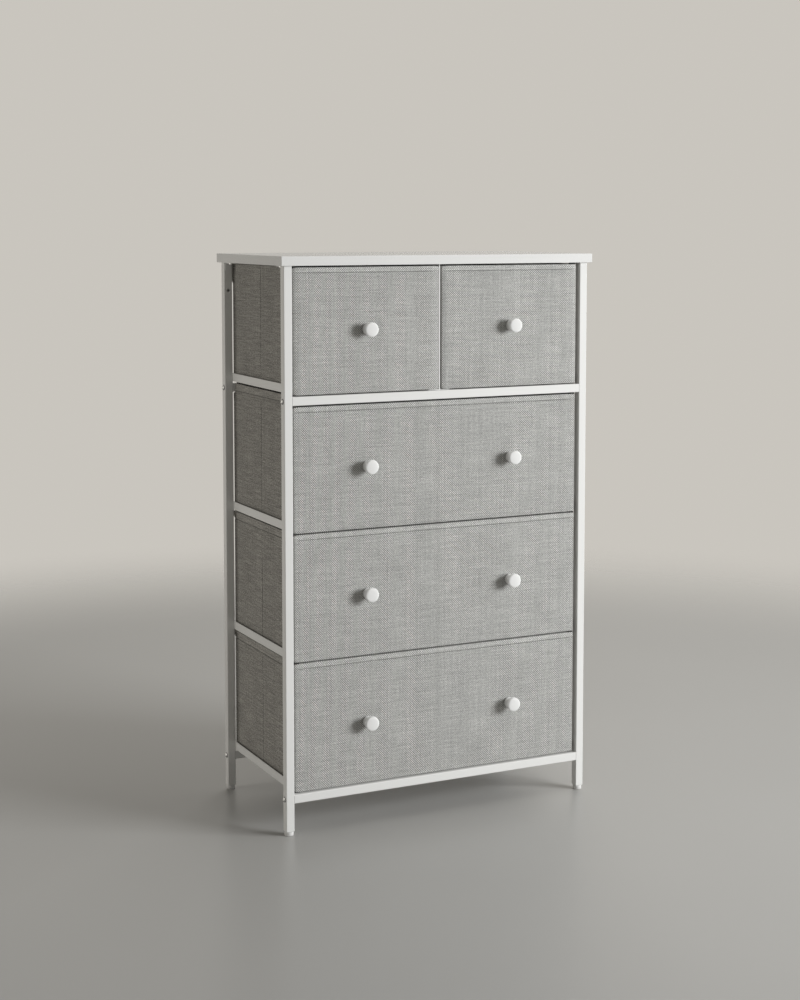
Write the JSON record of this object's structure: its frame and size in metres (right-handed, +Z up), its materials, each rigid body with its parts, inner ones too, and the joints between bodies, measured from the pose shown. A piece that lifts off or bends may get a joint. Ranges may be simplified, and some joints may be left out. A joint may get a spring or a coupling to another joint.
{
  "type": "fabric drawer dresser",
  "caption": "Narrow chest with a white tubular steel frame and board top, two small fabric drawers side by side over full-width fabric drawers with round knobs, sliding on angle runners.",
  "frame": {"origin": "on the floor, in the middle of the box that the whole dresser fills, knobs included", "axes": "+Z up, +Y towards the back, the drawers open towards -Y, +X to the right of someone facing the drawers"},
  "size_m": [0.6, 0.3182, 0.982],
  "materials": {
    "white_metal": "white powder coat, satin",
    "white_board": "particle board with white melamine faces",
    "grey_fabric": "light grey cross-woven polyester with a linen look",
    "fibre_board": "bare fibre board, hidden inside the fabric",
    "white_knob": "gloss white",
    "foot_plastic": "moulded, white",
    "steel": "zinc plated"
  },
  "bodies": {
    "frame": {"top_board": "white_board", "post_front_left": "white_metal", "foot_front_left": "foot_plastic", "post_front_right": "white_metal", "foot_front_right": "foot_plastic", "post_rear_left": "white_metal", "foot_rear_left": "foot_plastic", "post_rear_right": "white_metal", "foot_rear_right": "foot_plastic", "rail_front_upper": "white_metal", "rail_front_lower": "white_metal", "centre_upright_front": "white_metal", "rail_rear_upper": "white_metal", "rail_rear_lower": "white_metal", "centre_upright_rear": "white_metal", "runner_small_left": "white_metal", "runner_small_right": "white_metal", "runner_upper_left": "white_metal", "runner_upper_right": "white_metal", "runner_middle_left": "white_metal", "runner_middle_right": "white_metal", "runner_bottom_left": "white_metal", "runner_bottom_right": "white_metal", "centre_runner": "white_metal", "board_cleats": "white_metal", "board_screws": "steel", "rail_plugs": "steel", "rail_bolts": "steel"},
    "drawer_small_left": {"small_left_fabric_box": "grey_fabric", "small_left_front_board": "fibre_board", "small_left_base_board": "fibre_board", "small_left_knob": "white_knob", "small_left_knob_screws": "steel"},
    "drawer_small_right": {"small_right_fabric_box": "grey_fabric", "small_right_front_board": "fibre_board", "small_right_base_board": "fibre_board", "small_right_knob": "white_knob", "small_right_knob_screws": "steel"},
    "drawer_upper": {"upper_fabric_box": "grey_fabric", "upper_front_board": "fibre_board", "upper_base_board": "fibre_board", "upper_knob_left": "white_knob", "upper_knob_right": "white_knob", "upper_knob_screws": "steel"},
    "drawer_middle": {"middle_fabric_box": "grey_fabric", "middle_front_board": "fibre_board", "middle_base_board": "fibre_board", "middle_knob_left": "white_knob", "middle_knob_right": "white_knob", "middle_knob_screws": "steel"},
    "drawer_bottom": {"bottom_fabric_box": "grey_fabric", "bottom_front_board": "fibre_board", "bottom_base_board": "fibre_board", "bottom_knob_left": "white_knob", "bottom_knob_right": "white_knob", "bottom_knob_screws": "steel"}
  },
  "joints": [
    {"name": "drawer_small_left_slide", "type": "slide", "parent": "frame", "child": "drawer_small_left", "axis": [0, -1, 0], "range_m": [0, 0.22]},
    {"name": "drawer_small_right_slide", "type": "slide", "parent": "frame", "child": "drawer_small_right", "axis": [0, -1, 0], "range_m": [0, 0.22]},
    {"name": "drawer_upper_slide", "type": "slide", "parent": "frame", "child": "drawer_upper", "axis": [0, -1, 0], "range_m": [0, 0.22]},
    {"name": "drawer_middle_slide", "type": "slide", "parent": "frame", "child": "drawer_middle", "axis": [0, -1, 0], "range_m": [0, 0.22]},
    {"name": "drawer_bottom_slide", "type": "slide", "parent": "frame", "child": "drawer_bottom", "axis": [0, -1, 0], "range_m": [0, 0.22]}
  ]
}
